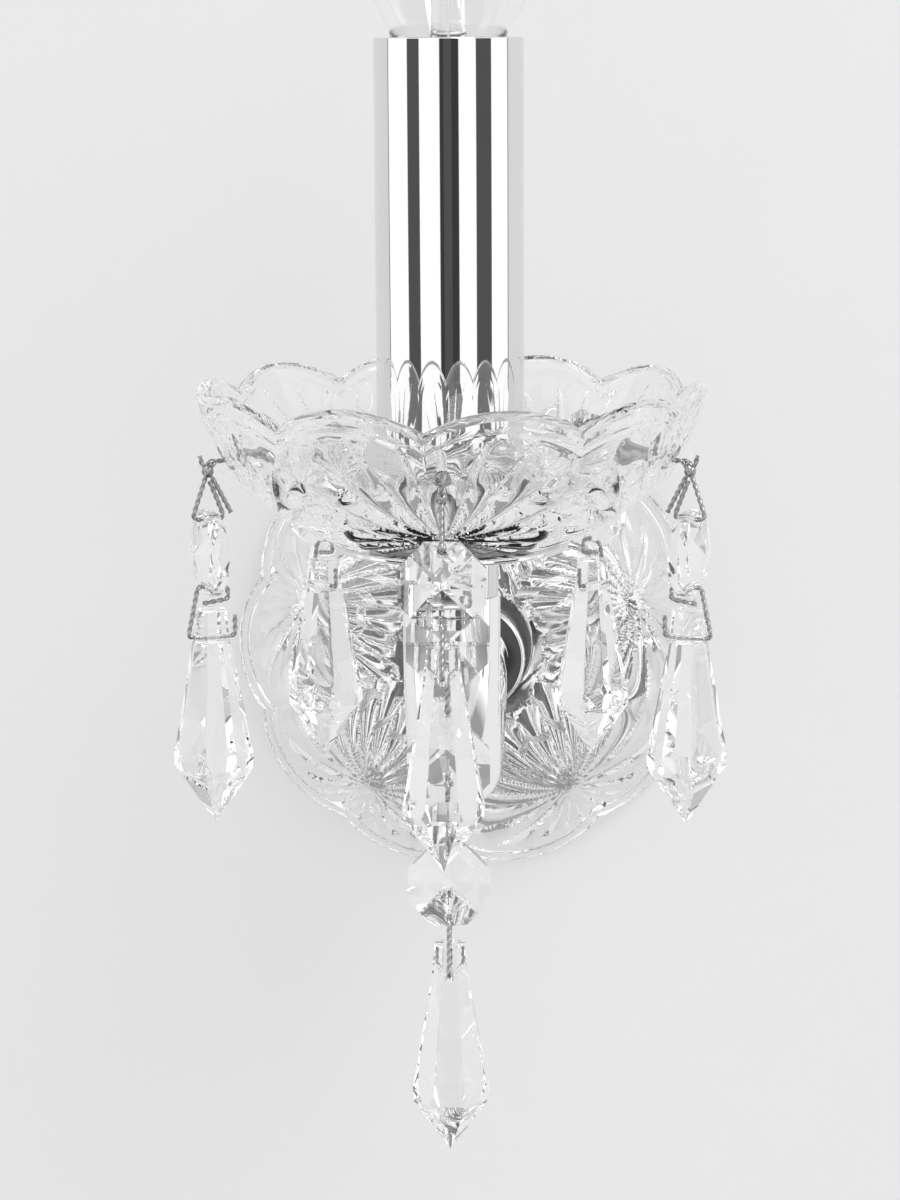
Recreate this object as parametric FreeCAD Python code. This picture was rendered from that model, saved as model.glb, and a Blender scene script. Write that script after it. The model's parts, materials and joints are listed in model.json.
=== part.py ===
import FreeCAD, Part
import math
import os

# Crystal wall sconce: one candle arm of clear glass tube on a chrome wall plate.
# Millimetres, +Z up. The wall is the plane Y = 0 and the room is towards -Y.
# The origin is the centre of the wall bracket on the wall.

V = FreeCAD.Vector

# ---- main layout -------------------------------------------------------------------------
REACH = 122.0  # wall to the axis of the lamp
BOWL_SEAT = 45.3  # height of the drip bowl's foot above the wall bracket's centre
SLEEVE_TOP = 130.9  # height of the candle sleeve's top edge
GAP = 0.03  # clearance left between pieces that only just touch

# ---- wall side, depths measured from the wall ----------------------------------------------
STRAP_LENGTH = 66.0  # horizontal strap of the bracket
STRAP_HEIGHT = 18.0
STRAP_T = 1.5
EAR_DEPTH = 5.5  # the strap's ends are bent out from the wall
WALL_HOLE_SPACING = 48.0
WALL_HOLE_R = 2.25
TAB_WIDTH = 26.0  # upright tab that carries the terminal block
TAB_TOP = 27.0
CABLE_HOLE_R = 6.0  # supply cable comes through the strap's lower tab
CABLE_HOLE_DROP = 17.0
PLATE_R = 39.5  # round chrome wall plate
PLATE_DEPTH = 11.0
PLATE_T = 1.0
PLATE_STEP_R = 23.6  # raised centre
PLATE_SHOULDER_R = 30.0
PLATE_STEP = 1.5
PLATE_SIDE = 4.6
PLATE_SCREW_DEPTH = 2.9  # side screws, on the horizontal centreline
PLATE_SCREW_R = 1.2
SCREW_HEAD_R = 2.3
SCREW_HEAD_T = 1.6
BLOCK_WIDTH = 24.0  # terminal block
BLOCK_HEIGHT = 12.0
BLOCK_BASE = 13.0
EARTH_PLACE = 10.0  # earth screw, to the right of the centre
EARTH_HEAD_R = 3.0
EARTH_SCREW_R = 1.6
LUG_T = 0.6
LUG_TAIL = 5.0  # from the earth screw's centre up to the wire
DISH_R = 52.5  # glass wall dish, mouth to the wall
DISH_DEPTH = 18.0
DISH_FOOT_R = 14.0
DISH_WALL = 3.0
DISH_FACE = 17.4  # foot to the scallops' tips, which stay just off the wall
DISH_BULGE = 6.5  # how far the wall bows out from a straight cone
DISH_CUSP = 3.4
WASHER_T = 1.0
FRONT_WASHER_T = 0.5

# ---- glass arm -----------------------------------------------------------------------------
ARM_R = 8.65
ARM_WALL = 2.6
ARM_STRAIGHT = 16.0  # level run out of the wall ferrule
ARM_BEND = 31.0  # centreline radius of the upright bend
ARM_DIP_DEPTH = 3.5  # the arm sinks below the wall plate's centre before it turns up
DIP_BEND = 60.0  # centreline radius of the dip
COLLAR_R = 8.3  # each ferrule is a collar with a spigot that is cemented into the tube's end
TOP_COLLAR_LENGTH = 8.6
WALL_COLLAR_LENGTH = 5.5  # with its flange
SPIGOT_LENGTH = 6.5
CEMENT = 0.2  # gap round each spigot
FLANGE_R = 12.2
FLANGE_T = 1.8

# ---- threaded tubes --------------------------------------------------------------------------
TUBE_R = 4.95
TUBE_BORE = 3.75
TUBE_FIT = 0.05
NUT_ACROSS = 14.0
NUT_T = 3.5
WIRE_R = 0.9  # insulated conductors
WIRE_OFFSET = 1.3
WIRE_BEND_R = 2.3

# ---- drip bowl and the pieces under it -------------------------------------------------------
BOWL_R = 44.9
BOWL_HEIGHT = 27.1  # foot to the top of a scallop
BOWL_FOOT_R = 20.8
BOWL_WALL = 2.9
BOWL_FLOOR = 4.5
BOWL_BULGE = 5.3
BOWL_CUSP = 4.0
SCALLOPS = 10
RIM_TURN = -4.0  # the bowl sits turned a little from the front, in degrees
CLEAR_HOLE_R = 5.6  # plain holes that the threaded tubes pass
FOOT_WASHER_T = 1.2
PAN_R = 20.8
PAN_T = 1.0
PAN_HOLE_R = 1.3

# ---- lampholder and candle sleeve ------------------------------------------------------------
SLEEVE_R = 12.9
SLEEVE_WALL = 0.6
HOLDER_FOOT_R = 11.5
HOLDER_FOOT_T = 4.0
HOLDER_POST_R = 7.5
HOLDER_POST_BORE = 5.2
HOLDER_CUP_R = 11.8
HOLDER_CUP_HEIGHT = 29.0
HOLDER_CONE = 3.0  # height of the cones between foot, post and cup
HOLDER_FLOOR = 2.5
HOLDER_TOP_GAP = 5.0  # holder's rim below the sleeve's top
LINER_BORE = 7.03
LINER_T = 0.35
LINER_HEIGHT = 17.0

# ---- bulb, small screw cap of 14 mm ----------------------------------------------------------
CAP_R = 6.95
CAP_T = 0.35
CAP_PITCH = 2.82
CAP_TURNS = 5
CAP_GROOVE = 0.55
CAP_NOSE_R = 5.9
BUTTON_R = 2.4
BUTTON_TIP_R = 1.6
SKIRT_R = 8.95
SKIRT_HEIGHT = 4.0
SKIRT_GAP = 0.4  # room round the cap's skirt in the holder
BULB_R = 17.5
BULB_HEIGHT = 74.5  # glass above the cap
BULB_WALL = 0.7
NECK_R = 8.5
NECK_DEPTH = 1.1  # glass inside the cap
NECK_RISE = 1.5  # straight neck above the cap, then the flare
FLARE_OUT = 3.2
FLARE_RISE = 7.0
BULB_SEAT = 3.8  # cap's upper edge below the sleeve's top
STEM_R = 2.9
STEM_DEPTH = 1.5  # the stem's flared foot below the cap's upper edge
STEM_CONE = 5.0  # height of that foot
STEM_BORE = 1.6
STEM_WALL = 0.9
STEM_RISE = 13.9  # top of the glass stem above the cap
FILAMENT_R = 0.25
LEAD_GAP = 1.6  # each lead from the stem's axis
LEAD_SPREAD = 8.0
FILAMENT_RISE = 25.9  # the leads' tops above the stem
FILAMENT_SPREAD = 3.4
FILAMENT_SAG = 9.0
FILAMENT_BEND_R = 0.9

# ---- crystals --------------------------------------------------------------------------------
LINK_WIRE = 0.43
CRYSTAL_HOLE_R = 0.85
HOLE_SKEW = 0.26  # how far a turned bead's hole runs aside of its wire
BEAD_TURN = {"left": 10, "right": -8}  # these two beads hang turned a little to the front, in degrees
OCTAGON_WIDTH = 14.3
OCTAGON_PEAK = 3.0  # half thickness at the centre
OCTAGON_EDGE = 1.0  # half thickness at the middle of a side
OCTAGON_HOLE = 5.6  # each hole from the centre
DROP_LENGTH = 38.0
DROP_R = 6.8
DROP_NECK_R = 3.1
DROP_HEAD = 5.6
DROP_HEAD_R = 2.6
DROP_GIRDLE = 27.4  # widest place below the top
DROP_HOLE = 5.1
KITE_CUT = 1.035  # the girdle's kites, as a share of the drop's radius
HANG_R = 43.3  # the pendants' distance from the lamp axis
HANG_HOLE_R = 1.5
HANG_DROP = 11.3  # hanging holes below the scallops' tops
CHAIN_INNER = 1.9  # the pan's hole is this much nearer to the lamp axis than the chain
CHAIN_R = 19.5  # the centre chain's distance from the lamp axis

# ---- crystal wires: lengths down from the top bar, widths outwards and inwards from the crystals ---
HOOK_LENGTH = 10.0
HOOK_STEM = 9.4  # from the hook's head inside the bowl to its knot outside
HOOK_HEAD_R = 1.75
HOOK_OUT = 2.9
HOOK_IN = 2.8
HOOK_END_IN = 0.3
HOOK_END_RISE = 6.6  # its free end above the loop's bottom bar
KNOT_R = 1.0
KNOT_DROP = 1.6
LEG_SHOULDER_IN = 1.2
LEG_SHOULDER_DROP = 3.6
LEG_IN = 3.9
LEG_END_RISE = 1.0
LINK_LENGTH = 8.85
LINK_TOP_OUT = 2.2
LINK_TOP_IN = 2.9
LINK_TAIL_OUT = 1.4
LINK_TAIL_DROP = 2.95
LINK_SHOULDER_IN = 3.2
LINK_SHOULDER_DROP = 2.3
LINK_OUT = 4.1  # bottom bar of a link that carries a drop
LINK_IN = 4.2
BEAD_LINK_OUT = 2.9  # bottom bar of a link that carries an octagon
BEAD_LINK_IN = 2.8
LINK_END_RISE = 3.6
CHAIN_LINK_LENGTH = 9.6
CHAIN_HOOK_LENGTH = 9.1
CHAIN_HOOK_OUT = 2.6
CHAIN_HOOK_IN = 2.8
CHAIN_HOOK_TAIL = 4.0
CHAIN_HOOK_END_IN = 1.2
CHAIN_HOOK_END_RISE = 4.5
LINK_BEND_R = 0.75
PENDANTS = {"front": 0, "right": 72, "back_right": 144, "back_left": 216, "left": 288}

# how far a hung crystal's hole sits below the middle of its wire
SEAT = math.sqrt((CRYSTAL_HOLE_R - LINK_WIRE - GAP) ** 2 - HOLE_SKEW**2)


# ---- shape helpers ---------------------------------------------------------------------------
def face_of(edges):
    return Part.Face(Part.Wire(Part.__sortEdges__(edges)))


def segment(a, b):
    return Part.makeLine(V(a[0], 0, a[1]), V(b[0], 0, b[1]))


def arc(a, b, c):
    return Part.Arc(*[V(p[0], 0, p[1]) for p in (a, b, c)]).toShape()


def turned(*profile):
    """Solid of revolution about Z, from the corners (radius, height) of its section."""
    corners = list(profile) + [profile[0]]
    wire = Part.makePolygon([V(r, 0, z) for r, z in corners])
    return Part.Face(wire).revolve(V(0, 0, 0), V(0, 0, 1), 360)


def tube(outer, inner, low, high):
    return turned((inner, low), (outer, low), (outer, high), (inner, high))


def hexagon(across, hole, low, high):
    corner = across / 2 / math.cos(math.pi / 6)
    angles = [k * math.pi / 3 for k in range(7)]
    ring = [V(corner * math.cos(angle), corner * math.sin(angle), low) for angle in angles]
    prism = Part.Face(Part.makePolygon(ring)).extrude(V(0, 0, high - low))
    return prism.cut(Part.makeCylinder(hole, high - low, V(0, 0, low)))


def bulged(a, b, bulge):
    """Arc from a to b, bowed by bulge to the right of the way from a to b."""
    length = math.dist(a, b)
    side = ((b[1] - a[1]) / length * bulge, -(b[0] - a[0]) / length * bulge)
    middle = ((a[0] + b[0]) / 2 + side[0], (a[1] + b[1]) / 2 + side[1])
    return arc(a, middle, b)


def route(points, bends):
    """Wire through points, each inner corner rounded to its own bend radius."""
    at, edges = points[0], []
    for before, corner, after, bend in zip(points, points[1:], points[2:], bends):
        back, on = (before - corner).normalize(), (after - corner).normalize()
        half = back.getAngle(on) / 2
        reach = bend / math.tan(half)
        start, end = corner + back * reach, corner + on * reach
        inward = (back + on).normalize()
        middle = corner + inward * (bend / math.sin(half) - bend)
        if at.distanceToPoint(start) > 1e-6:
            edges.append(Part.makeLine(at, start))
        edges.append(Part.Arc(start, middle, end).toShape())
        at = end
    edges.append(Part.makeLine(at, points[-1]))
    return Part.Wire(edges)


def swept(path, radius):
    """Round bar along a path that starts with a straight run."""
    start = path.OrderedVertexes[0].Point
    ring = Part.Wire(Part.makeCircle(radius, start, path.OrderedVertexes[1].Point - start))
    return path.makePipeShell([ring], True, True)


def bent(*points):
    """Crystal wire through points (outward radius, height)."""
    corners = [V(r, 0, z) for r, z in points]
    return swept(route(corners, [LINK_BEND_R] * (len(corners) - 2)), LINK_WIRE)


def scalloped(bowl, radius, top, cusp):
    """Cuts the rim of a bowl into rounded lobes, with the cusps between them on radial lines."""
    half = math.pi / SCALLOPS
    chord = radius * math.sin(half)
    lobe = (chord**2 + cusp**2) / (2 * cusp)
    inner, outer, low, high = radius * 0.7, radius + 2, top - cusp - 1, top + 1
    block = face_of([
        segment((inner, low), (outer, low)), segment((outer, low), (outer, high)),
        segment((outer, high), (inner, high)), segment((inner, high), (inner, low)),
    ])
    sector = block.revolve(V(0, 0, 0), V(0, 0, 1), math.degrees(2 * half))
    sector.rotate(V(0, 0, 0), V(0, 0, 1), -math.degrees(half))
    above = sector.cut(Part.makeCylinder(lobe, outer + 2, V(0, 0, top - lobe), V(1, 0, 0)))
    cutters = []
    for k in range(SCALLOPS):
        cutter = above.copy()
        cutter.rotate(V(0, 0, 0), V(0, 0, 1), math.degrees(2 * half) * (k + 0.5))
        cutters.append(cutter)
    return bowl.cut(cutters)


def pressed_bowl(radius, height, foot, wall, floor, bulge, cusp):
    """Open bowl on a flat foot at height 0, with a scalloped rim and a round hole in its foot."""
    inner_foot = foot - wall / 2
    section = [
        segment((CLEAR_HOLE_R, 0), (foot, 0)),
        bulged((foot, 0), (radius, height), bulge),
        segment((radius, height), (radius - wall, height)),
        bulged((inner_foot, floor), (radius - wall, height), bulge),
        segment((inner_foot, floor), (CLEAR_HOLE_R, floor)),
        segment((CLEAR_HOLE_R, floor), (CLEAR_HOLE_R, 0)),
    ]
    bowl = face_of(section).revolve(V(0, 0, 0), V(0, 0, 1), 360)
    return scalloped(bowl, radius, height, cusp)


def faceted(faces):
    return Part.makeSolid(Part.makeShell([Part.Face(Part.makePolygon(f + [f[0]])) for f in faces]))


def trimmed(block, planes):
    """Cuts a convex block by planes, each a point and an outward normal."""
    size = block.BoundBox.DiagonalLength
    for point, normal in planes:
        beyond = Part.makeBox(2 * size, 2 * size, size, V(-size, -size, 0))
        beyond.Placement = FreeCAD.Placement(point, FreeCAD.Rotation(V(0, 0, 1), normal))
        block = block.cut(beyond)
    return block


# ---- placing -----------------------------------------------------------------------------
def on_lamp(shape, height=0.0):
    """Moves a shape made about Z to the lamp's axis."""
    shape.translate(V(0, -REACH, height))
    return shape


def off_wall(shape):
    """Turns a shape made about Z, with its heights as depths from the wall."""
    shape.rotate(V(0, 0, 0), V(1, 0, 0), 90)
    return shape


def hung(shape, azimuth):
    """Turns a shape made with X as its outward radius to an azimuth, 0 at the front."""
    shape.rotate(V(0, 0, 0), V(0, 0, 1), azimuth - 90)
    return on_lamp(shape)


# ---- wall pieces -------------------------------------------------------------------------
SPIGOT_R = ARM_R - ARM_WALL - CEMENT
DISH_SEAT = PLATE_DEPTH + WASHER_T
FLANGE_BACK = DISH_DEPTH + FRONT_WASHER_T
ARM_START = FLANGE_BACK + WALL_COLLAR_LENGTH
PAN_TOP = BOWL_SEAT - FOOT_WASHER_T
PAN_BOTTOM = PAN_TOP - PAN_T
ARM_END = PAN_BOTTOM - TOP_COLLAR_LENGTH
PLATE_INNER = PLATE_DEPTH - PLATE_T
NUT_BACK = PLATE_INNER - NUT_T
WALL_TUBE_BACK = NUT_BACK - 1.0
TUBE_IN_ARM = 2.0


def wall_bracket():
    half, height = STRAP_LENGTH / 2, STRAP_HEIGHT / 2
    strap = Part.makeBox(STRAP_LENGTH, STRAP_T, STRAP_HEIGHT, V(-half, -STRAP_T, -height))
    ears = [
        Part.makeBox(STRAP_T, EAR_DEPTH, STRAP_HEIGHT, V(x, -EAR_DEPTH, -height))
        for x in (-half, half - STRAP_T)
    ]
    tab = Part.makeBox(TAB_WIDTH, STRAP_T, 2 * TAB_TOP, V(-TAB_WIDTH / 2, -STRAP_T, -TAB_TOP))
    bracket = strap.fuse(ears + [tab]).removeSplitter()
    holes = [
        Part.makeCylinder(WALL_HOLE_R, 3 * STRAP_T, V(x, STRAP_T, 0), V(0, -1, 0))
        for x in (-WALL_HOLE_SPACING / 2, WALL_HOLE_SPACING / 2)
    ]
    holes.append(Part.makeCylinder(TUBE_R + 1, 3 * STRAP_T, V(0, STRAP_T, 0), V(0, -1, 0)))
    holes.append(Part.makeCylinder(CABLE_HOLE_R, 3 * STRAP_T, V(0, STRAP_T, -CABLE_HOLE_DROP), V(0, -1, 0)))
    side = V(-PLATE_R, -PLATE_SCREW_DEPTH, 0)
    holes.append(Part.makeCylinder(PLATE_SCREW_R + GAP, 2 * PLATE_R, side, V(1, 0, 0)))
    earth = V(EARTH_PLACE, STRAP_T, 0)
    holes.append(Part.makeCylinder(EARTH_SCREW_R + GAP, 3 * STRAP_T, earth, V(0, -1, 0)))
    return bracket.cut(holes)


def wall_plate():
    outer = [(PLATE_R, 0), (PLATE_R, PLATE_SIDE), (PLATE_SHOULDER_R, PLATE_DEPTH - PLATE_STEP)]
    rim = bulged(outer[1], outer[2], 1.2)
    top = PLATE_DEPTH - PLATE_STEP
    section = [
        segment((PLATE_R - PLATE_T, 0), outer[0]),
        segment(outer[0], outer[1]),
        rim,
        segment(outer[2], (PLATE_STEP_R + PLATE_STEP, top)),
        segment((PLATE_STEP_R + PLATE_STEP, top), (PLATE_STEP_R, PLATE_DEPTH)),
        segment((PLATE_STEP_R, PLATE_DEPTH), (CLEAR_HOLE_R, PLATE_DEPTH)),
        segment((CLEAR_HOLE_R, PLATE_DEPTH), (CLEAR_HOLE_R, PLATE_INNER)),
        segment((CLEAR_HOLE_R, PLATE_INNER), (PLATE_STEP_R - PLATE_T, PLATE_INNER)),
        segment((PLATE_STEP_R - PLATE_T, PLATE_INNER), (PLATE_STEP_R, top - PLATE_T)),
        segment((PLATE_STEP_R, top - PLATE_T), (PLATE_SHOULDER_R - PLATE_T, top - PLATE_T)),
        bulged((PLATE_R - PLATE_T, PLATE_SIDE - PLATE_T), (PLATE_SHOULDER_R - PLATE_T, top - PLATE_T), 1.2),
        segment((PLATE_R - PLATE_T, PLATE_SIDE - PLATE_T), (PLATE_R - PLATE_T, 0)),
    ]
    plate = off_wall(face_of(section).revolve(V(0, 0, 0), V(0, 0, 1), 360))
    start = V(-PLATE_R - 1, -PLATE_SCREW_DEPTH, 0)
    bore = Part.makeCylinder(PLATE_SCREW_R + GAP, 2 * PLATE_R + 2, start, V(1, 0, 0))
    return plate.cut(bore)


def plate_screws():
    screws = []
    for side in (-1, 1):
        inner = STRAP_LENGTH / 2 - STRAP_T - 1.5
        start = V(side * inner, -PLATE_SCREW_DEPTH, 0)
        head = V(side * (PLATE_R + GAP), -PLATE_SCREW_DEPTH, 0)
        shank = Part.makeCylinder(PLATE_SCREW_R, PLATE_R + GAP - inner, start, V(side, 0, 0))
        screws.append(shank.fuse(Part.makeCylinder(SCREW_HEAD_R, SCREW_HEAD_T, head, V(side, 0, 0))))
    return Part.makeCompound(screws)


def terminal_block():
    depth = PLATE_DEPTH - PLATE_STEP - PLATE_T - STRAP_T - 0.6
    corner = V(-BLOCK_WIDTH / 2, -STRAP_T - depth, BLOCK_BASE)
    block = Part.makeBox(BLOCK_WIDTH, depth, BLOCK_HEIGHT, corner)
    wells = []
    for pole in (-1, 0, 1):
        place = V(pole * BLOCK_WIDTH / 3, -STRAP_T - depth + 2, BLOCK_BASE + BLOCK_HEIGHT / 2)
        wells.append(Part.makeCylinder(1.6, depth, place, V(0, -1, 0)))
    return block.cut(wells)


def earth_screw():
    head = Part.makeCylinder(EARTH_HEAD_R, 1.8, V(EARTH_PLACE, -STRAP_T - LUG_T, 0), V(0, -1, 0))
    shank = Part.makeCylinder(EARTH_SCREW_R, STRAP_T + LUG_T - 0.1, V(EARTH_PLACE, -0.1, 0), V(0, -1, 0))
    return head.fuse(shank)


def earth_wire():
    start = STRAP_T + WIRE_R + 0.3
    corner = V(EARTH_PLACE - EARTH_HEAD_R, -STRAP_T - LUG_T, -EARTH_HEAD_R)
    lug = Part.makeBox(2 * EARTH_HEAD_R, LUG_T, EARTH_HEAD_R + LUG_TAIL, corner)
    lug = lug.cut(Part.makeCylinder(EARTH_SCREW_R + GAP, 4, V(EARTH_PLACE, 0, 0), V(0, -1, 0)))
    core = Part.makeCylinder(WIRE_R, BLOCK_BASE - 4, V(EARTH_PLACE, -start, 4), V(0, 0, 1))
    neck = Part.makeBox(1.2, start - STRAP_T, 1.0, V(EARTH_PLACE - 0.6, -start, 4))
    return lug.fuse([core, neck])


def arm_path(side=0.0):
    """Centreline of the glass arm, from its end on the wall to its end under the lamp."""
    turn = 2 * math.asin(math.sqrt(ARM_DIP_DEPTH / (4 * DIP_BEND)))
    run = 2 * DIP_BEND * math.tan(turn / 2)
    first = ARM_START + ARM_STRAIGHT
    corners = [
        V(side, -ARM_START, 0),
        V(side, -first, 0),
        V(side, -first - run * math.cos(turn), -ARM_DIP_DEPTH),
        V(side, -REACH, -ARM_DIP_DEPTH),
        V(side, -REACH, ARM_END),
    ]
    return corners, [DIP_BEND, DIP_BEND, ARM_BEND]


def glass_arm():
    path = route(*arm_path())
    return swept(path, ARM_R).cut(swept(path, ARM_R - ARM_WALL))


def conductor(side):
    """One insulated wire, from the terminal block through the arm to the lampholder."""
    corners, bends = arm_path(side)
    behind = STRAP_T + WIRE_R + 0.8
    start = [V(side, -behind, BLOCK_BASE), V(side, -behind, 0)]
    corners = start + corners[1:-1] + [V(side, -REACH, CUP_BOTTOM)]
    return swept(route(corners, [WIRE_BEND_R] + bends), WIRE_R)


def wall_ferrule():
    bore, front, end = TUBE_R + TUBE_FIT, FLANGE_BACK + FLANGE_T, ARM_START + SPIGOT_LENGTH
    bevel = FLANGE_T / 3
    return off_wall(turned(
        (bore, FLANGE_BACK), (FLANGE_R, FLANGE_BACK), (FLANGE_R, front - bevel), (FLANGE_R - bevel, front),
        (COLLAR_R, front), (COLLAR_R, ARM_START), (SPIGOT_R, ARM_START), (SPIGOT_R, end), (bore, end),
    ))


def top_ferrule():
    bore, end = TUBE_R + TUBE_FIT, ARM_END - SPIGOT_LENGTH
    return on_lamp(turned(
        (bore, end), (SPIGOT_R, end), (SPIGOT_R, ARM_END), (COLLAR_R, ARM_END),
        (COLLAR_R, PAN_BOTTOM), (bore, PAN_BOTTOM),
    ))


def drip_bowl():
    bowl = pressed_bowl(BOWL_R, BOWL_HEIGHT, BOWL_FOOT_R, BOWL_WALL, BOWL_FLOOR, BOWL_BULGE, BOWL_CUSP)
    bowl.rotate(V(0, 0, 0), V(0, 0, 1), RIM_TURN - 90)
    on_lamp(bowl, BOWL_SEAT)
    bores = [
        hung(Part.makeCylinder(HANG_HOLE_R, BOWL_R / 3, V(BOWL_R * 0.75, 0, HANG_Z), V(1, 0, 0)), azimuth)
        for azimuth in PENDANTS.values()
    ]
    return bowl.cut(bores)


def wall_dish():
    floor = DISH_DEPTH - DISH_SEAT
    dish = pressed_bowl(DISH_R, DISH_FACE, DISH_FOOT_R, DISH_WALL, floor, DISH_BULGE, DISH_CUSP)
    dish.rotate(V(0, 0, 0), V(1, 0, 0), 180)
    dish.rotate(V(0, 0, 0), V(0, 0, 1), 90)
    dish.translate(V(0, 0, DISH_DEPTH))
    return off_wall(dish)


def pan():
    rim = PAN_T / 2
    edge = [
        segment((CLEAR_HOLE_R, 0), (PAN_R - rim, 0)),
        arc((PAN_R - rim, 0), (PAN_R, rim), (PAN_R - rim, PAN_T)),
        segment((PAN_R - rim, PAN_T), (CLEAR_HOLE_R, PAN_T)),
        segment((CLEAR_HOLE_R, PAN_T), (CLEAR_HOLE_R, 0)),
    ]
    disc = face_of(edge).revolve(V(0, 0, 0), V(0, 0, 1), 360)
    on_lamp(disc, PAN_BOTTOM)
    bore = Part.makeCylinder(PAN_HOLE_R, 4 * PAN_T, V(CHAIN_R - CHAIN_INNER, 0, PAN_BOTTOM - PAN_T))
    return disc.cut(hung(bore, 0))


# ---- lamp --------------------------------------------------------------------------------
def lampholder():
    bore, mouth, foot_top = TUBE_R + TUBE_FIT, LINER_TOP, HOLDER_SEAT + HOLDER_FOOT_T
    return on_lamp(turned(
        (bore, HOLDER_SEAT), (HOLDER_FOOT_R, HOLDER_SEAT), (HOLDER_FOOT_R, foot_top),
        (HOLDER_POST_R, foot_top + HOLDER_CONE), (HOLDER_POST_R, CUP_BOTTOM - HOLDER_CONE),
        (HOLDER_CUP_R, CUP_BOTTOM), (HOLDER_CUP_R, HOLDER_TOP), (SKIRT_R + SKIRT_GAP, HOLDER_TOP),
        (SKIRT_R + SKIRT_GAP, mouth), (LINER_BORE + LINER_T, mouth), (LINER_BORE + LINER_T, CUP_FLOOR),
        (0, CUP_FLOOR), (0, CUP_BOTTOM), (HOLDER_POST_BORE, CUP_BOTTOM), (HOLDER_POST_BORE, foot_top),
        (bore, foot_top),
    ))


def holder_contact():
    low, high = CUP_FLOOR, CAP_CONTACT - GAP
    strip = [
        (-4.0, low), (3.0, low), (3.5, low + 0.4), (1.6, high), (-1.5, high),
        (-1.5, high - 0.4), (1.3, high - 0.4), (2.7, low + 0.4), (-4.0, low + 0.4),
    ]
    outline = Part.makePolygon([V(x, -2, z) for x, z in strip + strip[:1]])
    return on_lamp(Part.Face(outline).extrude(V(0, 4, 0)))


def bulb_cap():
    outer = [(SKIRT_R, CAP_TOP), (SKIRT_R, CAP_TOP - 1.2), (CAP_R, CAP_TOP - SKIRT_HEIGHT)]
    for turn in range(CAP_TURNS):
        crest = CAP_TOP - SKIRT_HEIGHT - CAP_PITCH * (turn + 0.35)
        groove = (CAP_R - CAP_GROOVE, crest - CAP_PITCH / 3)
        outer += [(CAP_R, crest), groove, (CAP_R, crest - CAP_PITCH * 2 / 3)]
    outer += [(CAP_R, CAP_THREAD_END), (CAP_NOSE_R, CAP_END)]
    inner = [(r - CAP_T, z) for r, z in reversed(outer)]
    return on_lamp(turned(*outer, *inner))


def bulb_contact():
    corners = (BUTTON_R, CAP_BUTTON), (0, CAP_BUTTON), (0, CAP_CONTACT), (BUTTON_TIP_R, CAP_CONTACT)
    return on_lamp(turned(*corners))


def bulb_insulator():
    edge = CAP_NOSE_R - CAP_T
    return on_lamp(turned(
        (edge, CAP_END), (edge, CAP_END + 1), (0, CAP_END + 1), (0, CAP_BUTTON), (BUTTON_R, CAP_BUTTON),
    ))


def bulb_profile(inset):
    """Outline of the candle bulb's glass, moved inwards by inset, from its rim in the cap to its tip."""
    tip = CAP_TOP + BULB_HEIGHT
    poles = [
        (NECK_R, CAP_TOP - NECK_DEPTH), (NECK_R, CAP_TOP + NECK_RISE),
        (NECK_R + FLARE_OUT, CAP_TOP + FLARE_RISE),
        (BULB_R + 0.6, CAP_TOP + BULB_HEIGHT * 0.26), (BULB_R + 0.9, CAP_TOP + BULB_HEIGHT * 0.52),
        (BULB_R * 0.72, CAP_TOP + BULB_HEIGHT * 0.76), (BULB_R * 0.42, tip - inset), (0, tip - inset),
    ]
    curve = Part.BSplineCurve()
    curve.buildFromPoles([V(max(r - inset, 0), 0, z) for r, z in poles])
    return curve.toShape(), poles[0][1], tip - inset


def bulb_glass():
    outer, low, tip = bulb_profile(0)
    inner, _, inner_tip = bulb_profile(BULB_WALL)
    mouth = segment((NECK_R - BULB_WALL, low), (NECK_R, low))
    section = [outer, inner, mouth, segment((0, inner_tip), (0, tip))]
    return on_lamp(face_of(section).revolve(V(0, 0, 0), V(0, 0, 1), 360))


def bulb_stem():
    base, rim = CAP_TOP - STEM_DEPTH, NECK_R - BULB_WALL
    cone = base + STEM_CONE
    return on_lamp(turned(
        (rim - GAP, base), (STEM_R + 0.3, cone), (STEM_R, cone + STEM_CONE / 2), (STEM_R, STEM_TOP),
        (0, STEM_TOP), (0, cone), (STEM_BORE, cone - 0.8), (rim - STEM_WALL, base),
    ))


def bulb_filament():
    top, start = STEM_TOP + FILAMENT_RISE, STEM_TOP + FILAMENT_RISE / 9
    half = [
        V(LEAD_GAP, 0, STEM_TOP), V(LEAD_GAP, 0, start), V(LEAD_SPREAD, 0, top),
        V(FILAMENT_SPREAD, 0, top - FILAMENT_SAG),
    ]
    other = [V(-corner.x, 0, corner.z) for corner in half]
    corners = other + [V(0, 0, top + FILAMENT_SAG / 9)] + half[::-1]
    return on_lamp(swept(route(corners, [FILAMENT_BEND_R] * (len(corners) - 2)), FILAMENT_R))


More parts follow.
